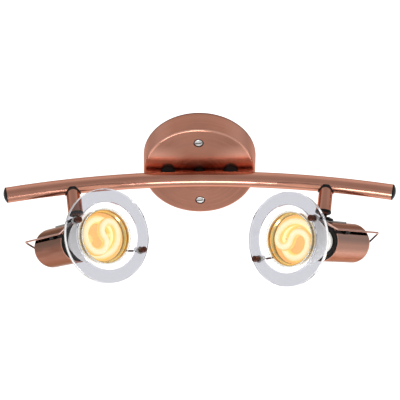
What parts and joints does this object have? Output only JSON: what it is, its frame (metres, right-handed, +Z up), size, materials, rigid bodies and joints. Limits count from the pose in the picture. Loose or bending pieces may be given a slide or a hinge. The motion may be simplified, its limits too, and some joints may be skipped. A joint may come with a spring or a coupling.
{
  "type": "pivoting spotlight wall light",
  "caption": "Wall light with a bowed copper bar on a round canopy; each spotlight turns and tilts on a ball joint and carries a clear glass ring on a sliding wire bail.",
  "frame": {"origin": "centre of the wall bracket's back, on the wall", "axes": "+Z up the wall, +X to the right along the bar, -Y out into the room"},
  "size_m": [0.3632, 0.1539, 0.1386],
  "materials": {
    "copper": "brushed antique copper",
    "bright_screw": "nickel plated",
    "zinc_steel": "zinc plated",
    "brass": "plain brass",
    "white_plastic": "moulded",
    "black_plastic": "satin black",
    "black_rubber": "thin gasket",
    "lead_jacket": "insulated wire",
    "holder_plastic": "heat resistant moulding",
    "bright_cap": "pressed cap",
    "lamp_shell": "satin pale grey",
    "gold_reflector": "gold toned reflector",
    "lit_tube": "white coated lamp tube",
    "clear_glass": "clear, faint blue-grey",
    "pale_plastic": "soft sleeve"
  },
  "bodies": {
    "fixture": {"canopy": "copper", "canopy_screws": "bright_screw", "wall_bracket": "zinc_steel", "earth_screw": "brass", "terminal_block": "white_plastic", "terminal_tubes": "brass", "terminal_screws": "zinc_steel", "bar_tube": "copper", "bar_spacers": "black_plastic", "bar_bolts": "zinc_steel", "bar_rivet_nuts": "zinc_steel", "wire_nipple": "zinc_steel", "supply_leads": "lead_jacket", "left_end_cap": "black_plastic", "left_arm_gasket": "black_rubber", "left_arm_tube": "copper", "left_arm_screw": "zinc_steel", "right_end_cap": "black_plastic", "right_arm_gasket": "black_rubber", "right_arm_tube": "copper", "right_arm_screw": "zinc_steel"},
    "left_swivel_collar": {"left_socket_collar": "black_plastic", "left_collar_clip": "zinc_steel"},
    "left_head": {"left_ball_stem": "copper", "left_stem_nut": "zinc_steel", "left_stem_foot": "black_plastic", "left_mount_plate": "zinc_steel", "left_cup": "copper", "left_holder_ring": "black_plastic", "left_holder_body": "holder_plastic", "left_holder_contacts": "brass", "left_lamp_base": "bright_cap", "left_lamp_body": "lamp_shell", "left_lamp_reflector": "gold_reflector", "left_lamp_spiral": "lit_tube", "left_lamp_dome": "clear_glass"},
    "left_bail": {"left_glass_ring": "clear_glass", "left_bail_wire": "copper", "left_ring_tips": "copper", "left_tip_sleeves": "pale_plastic"},
    "right_swivel_collar": {"right_socket_collar": "black_plastic", "right_collar_clip": "zinc_steel"},
    "right_head": {"right_ball_stem": "copper", "right_stem_nut": "zinc_steel", "right_stem_foot": "black_plastic", "right_mount_plate": "zinc_steel", "right_cup": "copper", "right_holder_ring": "black_plastic", "right_holder_body": "holder_plastic", "right_holder_contacts": "brass", "right_lamp_base": "bright_cap", "right_lamp_body": "lamp_shell", "right_lamp_reflector": "gold_reflector", "right_lamp_spiral": "lit_tube", "right_lamp_dome": "clear_glass"},
    "right_bail": {"right_glass_ring": "clear_glass", "right_bail_wire": "copper", "right_ring_tips": "copper", "right_tip_sleeves": "pale_plastic"}
  },
  "joints": [
    {"name": "left_swivel", "type": "hinge", "parent": "fixture", "child": "left_swivel_collar", "pos_m": [-0.11488, -0.06467, -0.01258], "axis": [0.1315, -0.8731, -0.4695], "range_deg": [-165, 165]},
    {"name": "left_tilt", "type": "hinge", "parent": "left_swivel_collar", "child": "left_head", "pos_m": [-0.11488, -0.06467, -0.01258], "axis": [-0.8214, -0.3611, 0.4415], "range_deg": [-13, 13]},
    {"name": "left_ring_slide", "type": "slide", "parent": "left_head", "child": "left_bail", "axis": [0.5702, -0.5019, 0.6503], "range_m": [-0.004, 0.012]},
    {"name": "right_swivel", "type": "hinge", "parent": "fixture", "child": "right_swivel_collar", "pos_m": [0.11488, -0.06467, -0.01258], "axis": [-0.1315, -0.8731, -0.4695], "range_deg": [-165, 165]},
    {"name": "right_tilt", "type": "hinge", "parent": "right_swivel_collar", "child": "right_head", "pos_m": [0.11488, -0.06467, -0.01258], "axis": [-0.7923, 0.3772, -0.4796], "range_deg": [-9.5, 16.5]},
    {"name": "right_ring_slide", "type": "slide", "parent": "right_head", "child": "right_bail", "axis": [-0.6093, -0.531, 0.5889], "range_m": [-0.004, 0.012]}
  ]
}
